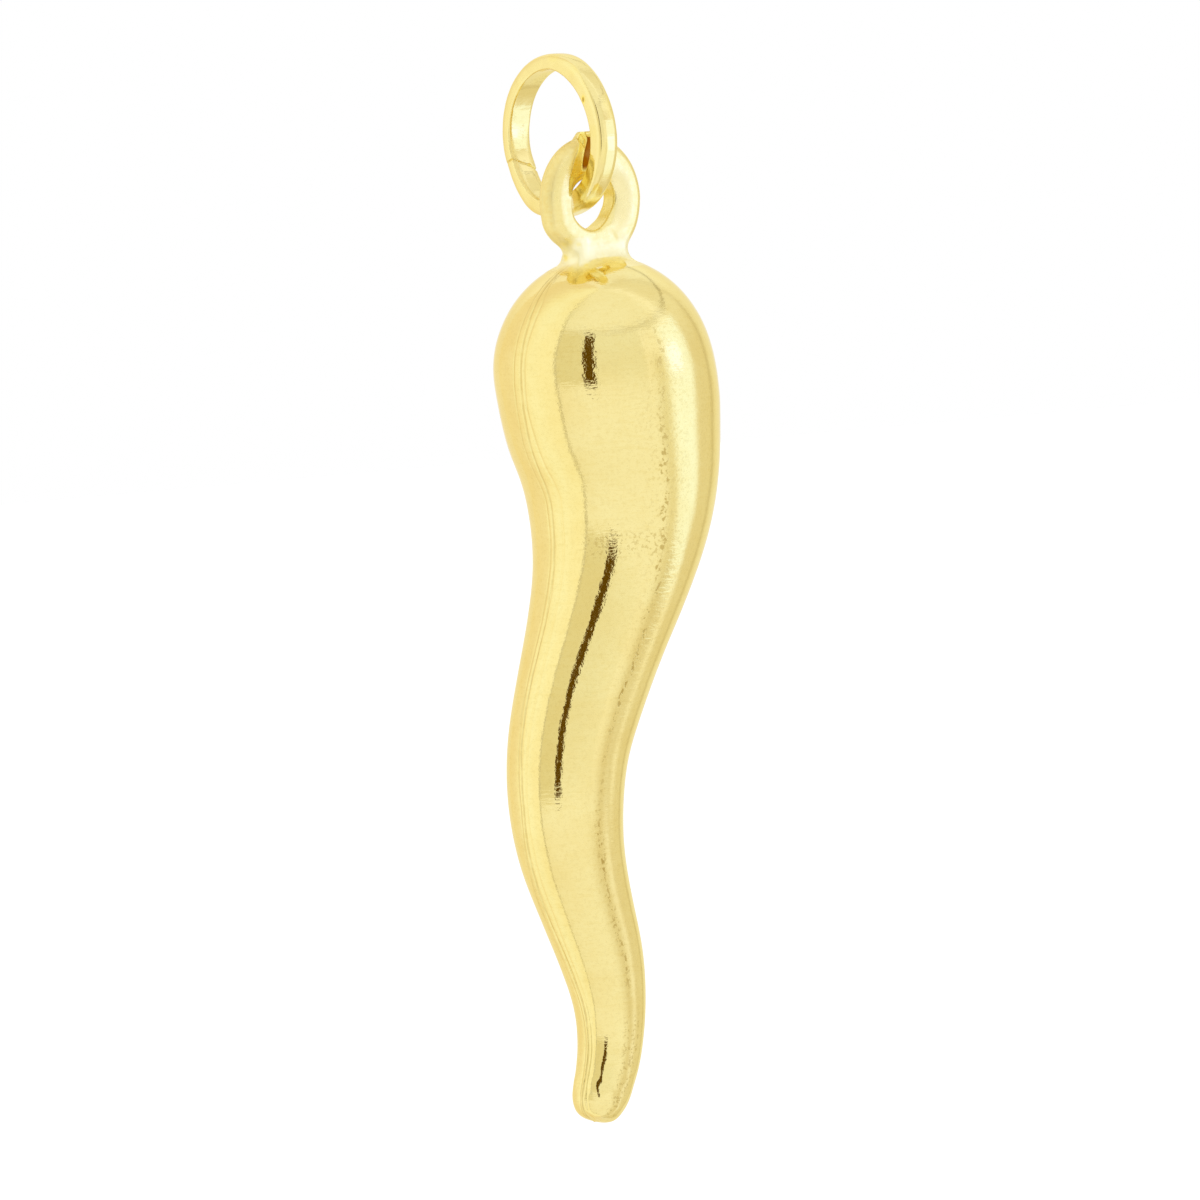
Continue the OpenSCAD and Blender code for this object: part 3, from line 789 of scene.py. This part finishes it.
def card(name, az_list, el_list, radius, tone=None, rgb=None, strength=1.0):
    """A curved light card: a patch of a sphere round the pendant, hidden from the camera."""
    A, E = np.meshgrid(az_list, el_list)
    pts = direction(A, E) * radius + np.array(CENTRE)
    nr, nc = A.shape
    f = [[r_ * nc + c_, r_ * nc + c_ + 1, (r_ + 1) * nc + c_ + 1, (r_ + 1) * nc + c_]
         for r_ in range(nr - 1) for c_ in range(nc - 1)]
    me_ = bpy.data.meshes.new(name)
    me_.from_pydata(pts.reshape(-1, 3).tolist(), [], f)
    if tone is not None:
        col = me_.color_attributes.new("tone", "FLOAT_COLOR", "POINT")
        rgba = np.concatenate([tone(A.ravel(), E.ravel()), np.ones((A.size, 1))], 1)
        col.data.foreach_set("color", rgba.ravel())
        me_.materials.append(emission(name, attribute="tone", strength=strength))
    else:
        me_.materials.append(emission(name, rgb, strength))
    o_ = bpy.data.objects.new(name, me_)
    bpy.context.scene.collection.objects.link(o_)
    o_.visible_camera = False
    o_.visible_shadow = False
    o_.visible_diffuse = False
    return o_


def bell(x, mid, width):
    return np.exp(-0.5 * ((x - mid) / width) ** 2)


def step(x, at, soft):
    return 1 / (1 + np.exp(-np.clip((x - at) / soft, -40, 40)))


def tent(A, E, band=1.0):
    """Tone of the light tent by direction: pale walls, darker and duller to the right."""
    r_ = np.full_like(A, 1.03)
    g_ = np.full_like(A, 1.035)
    b_ = np.full_like(A, 1.04)

    def add(w, dr, dg, db):
        nonlocal r_, g_, b_
        r_, g_, b_ = r_ + w * dr, g_ + w * dg, b_ + w * db

    add(step(-E, 31, 4), -0.03, -0.045, -0.09)                                 # deep floor
    add(step(E, 40, 3), -0.03, -0.03, -0.05)                                   # ceiling
    low = step(-E, -26, 4)                                                     # below the top of the walls
    add(step(-A, 90, 1) * step(A, -146, 4), 0.05, 0.035, -0.06)                # left wall
    add(step(-A, 147, 5), -0.05, -0.13, -0.25)                                 # behind, at the left
    add(bell(A, -121, 9), 0.01, 0.045, 0.12)                                   # its brightest part
    add(step(A, -90, 0.8) * step(-A, 77, 3), -0.02, -0.03, -0.06)              # just past the corner
    add(bell(A, -90.4, 0.85), -0.46, -0.48, -0.50)                             # the corner's line
    add(bell(E, 41.3, 0.75) * step(A, -86, 2) * (0.6 + 0.4 * step(A, -10, 12)), -0.42, -0.45, -0.50)  # wall top
    mid = 26 + 7 * step(E, -8, 4)
    add((bell(A, mid, 9.5) + 0.7 * step(A, mid + 4, 4) * step(-A, -62, 4)) * low * band, -0.15, -0.195, -0.30)
    add(bell(A, 51, 6.5), 0.09, 0.11, 0.20)                                    # faint light band
    add(step(A, 60, 3) * (0.45 + 0.55 * low), -0.17, -0.22, -0.34)             # right wall
    add(bell(A, 97, 2.4) * (0.5 + 0.5 * low), -0.15, -0.16, -0.16)             # its far edge
    add(step(A, 104, 3), 0.09, 0.13, 0.26)
    add(step(A, 148, 5), 0.02, -0.02, -0.06)
    return np.stack([r_, g_, b_], 1).clip(0.02, 4)


card("tent", np.unique(np.concatenate([np.arange(-180, 180.1, 1.5), np.arange(-93, -87, 0.25)])),
     np.unique(np.concatenate([np.arange(-90, 90.1, 3.0), np.arange(39, 43, 0.25)])), 1.6, tone=tent)


def front_tone(A, E):
    """The darker front wall, in shade beside the corner and fading to the right."""
    r_, g_, b_ = np.full_like(A, 0.935), np.full_like(A, 0.94), np.full_like(A, 0.90)
    shade = step(-A, 60, 2)
    right_ = step(A, 26, 3)
    foot = 0.6 * step(-E, -1.5, 2.5) * step(A, -45, 2) * step(-A, -20, 4)      # it fades into the floor
    return np.stack([r_ - 0.085 * shade - 0.09 * right_ + 0.09 * foot, g_ - 0.125 * shade - 0.13 * right_ + 0.09 * foot,
                     b_ - 0.23 * shade - 0.22 * right_ + 0.13 * foot], 1)


card("front_wall", np.arange(-89, 31.1, 1.5), np.linspace(-9.4, 40.2, 20), 0.27, tone=front_tone)
card("slit", np.linspace(-59.6, -47.6, 6), np.linspace(-9.0, 39.6, 8), 0.26, rgb=(0.120, 0.062, 0.0), strength=1.0)


def near_card(name, a0, a1, z0, z1, radius, tone_):
    """A small upright light card close to the pendant, by azimuth and height (mm)."""
    A, Z = np.meshgrid(np.linspace(a0, a1, 73), np.linspace(z0, z1, 62))
    pts = np.stack([0.5 + radius * np.sin(np.radians(A)), -1.2 - radius * np.cos(np.radians(A)), Z], -1) * MM
    nr, nc = A.shape
    f = [[r_ * nc + c_, r_ * nc + c_ + 1, (r_ + 1) * nc + c_ + 1, (r_ + 1) * nc + c_]
         for r_ in range(nr - 1) for c_ in range(nc - 1)]
    me_ = bpy.data.meshes.new(name)
    me_.from_pydata(pts.reshape(-1, 3).tolist(), [], f)
    colr = me_.color_attributes.new("tone", "FLOAT_COLOR", "POINT")
    colr.data.foreach_set("color", np.concatenate([tone_(A.ravel(), Z.ravel()), np.ones((A.size, 1))], 1).ravel())
    me_.materials.append(emission(name, attribute="tone"))
    o_ = bpy.data.objects.new(name, me_)
    bpy.context.scene.collection.objects.link(o_)
    o_.visible_camera = o_.visible_shadow = o_.visible_diffuse = False
    return o_


def window_tone(A, Z):
    """A soft bright window with a darker edge at its left, fading into the tent's tone."""
    rgb = tent(1.06 * A + 3.6, np.clip((Z + 11) * 2.2, -6, 32), soft((-24 - Z) / 6))
    zs = [-33, -29.5, -27.7, -25, -22.5, -14.7, -8.6, 0, 7]
    left = np.interp(Z, zs, [56, 52, 41, 29, 30, 27, 25.5, 27, 27])
    right_ = np.interp(Z, zs, [66, 66, 60, 58, 61, 57.5, 60, 60, 60])
    dark = bell(A, left - 8, 5.0) * soft((-3 - Z) / 4) * soft((Z + 34) / 3)
    rgb = rgb * (1 - dark[:, None] * np.array([[0.15, 0.18, 0.29]]))
    w_ = soft((A - left + 5) / 11) * soft((right_ + 6 - A) / 13) * soft((7 - Z) / 1.5)
    top_, end_ = soft((Z + 29.5) / 3)[:, None], soft((Z + 33.5) / 3)[:, None]
    lit = np.array([[1.09, 1.22, 1.54]]) * top_ + np.array([[1.04, 1.04, 1.06]]) * (1 - top_)
    lit = lit * end_ + rgb * (1 - end_)
    rgb = rgb + (lit - rgb) * w_[:, None]
    hot = soft((3 + 1.5 - np.abs(Z + 6)) / 1.5) * soft((5 + 6 - np.abs(A - 38)) / 6)
    rgb = rgb + hot[:, None] * np.array([[0.12, 0.16, 0.75]])
    return rgb


near_card("window", 4, 76, -34.0, 7.0, 25.0, window_tone)

g = 4.0
FLOOR_Z = -0.30
floor_me = bpy.data.meshes.new("floor")
floor_me.from_pydata([(-g, -g, FLOOR_Z), (g, -g, FLOOR_Z), (g, g, FLOOR_Z), (-g, g, FLOOR_Z)], [], [(0, 1, 2, 3)])
floor = bpy.data.objects.new("floor", floor_me)
bpy.context.scene.collection.objects.link(floor)
fm = bpy.data.materials.new("floor")
fm.use_nodes = True
fb = fm.node_tree.nodes["Principled BSDF"]
fb.inputs["Base Color"].default_value = (0.8, 0.8, 0.8, 1)
fb.inputs["Roughness"].default_value = 0.9
fb.inputs["Emission Color"].default_value = (1, 1, 1, 1)
fb.inputs["Emission Strength"].default_value = 0.35
floor_me.materials.append(fm)
floor.visible_glossy = False

world = bpy.data.worlds.new("world")
bpy.context.scene.world = world
world.use_nodes = True
world.node_tree.nodes["Background"].inputs["Color"].default_value = (1, 1, 1, 1)
world.node_tree.nodes["Background"].inputs["Strength"].default_value = 1.0
bpy.context.scene.view_settings.view_transform = "Standard"
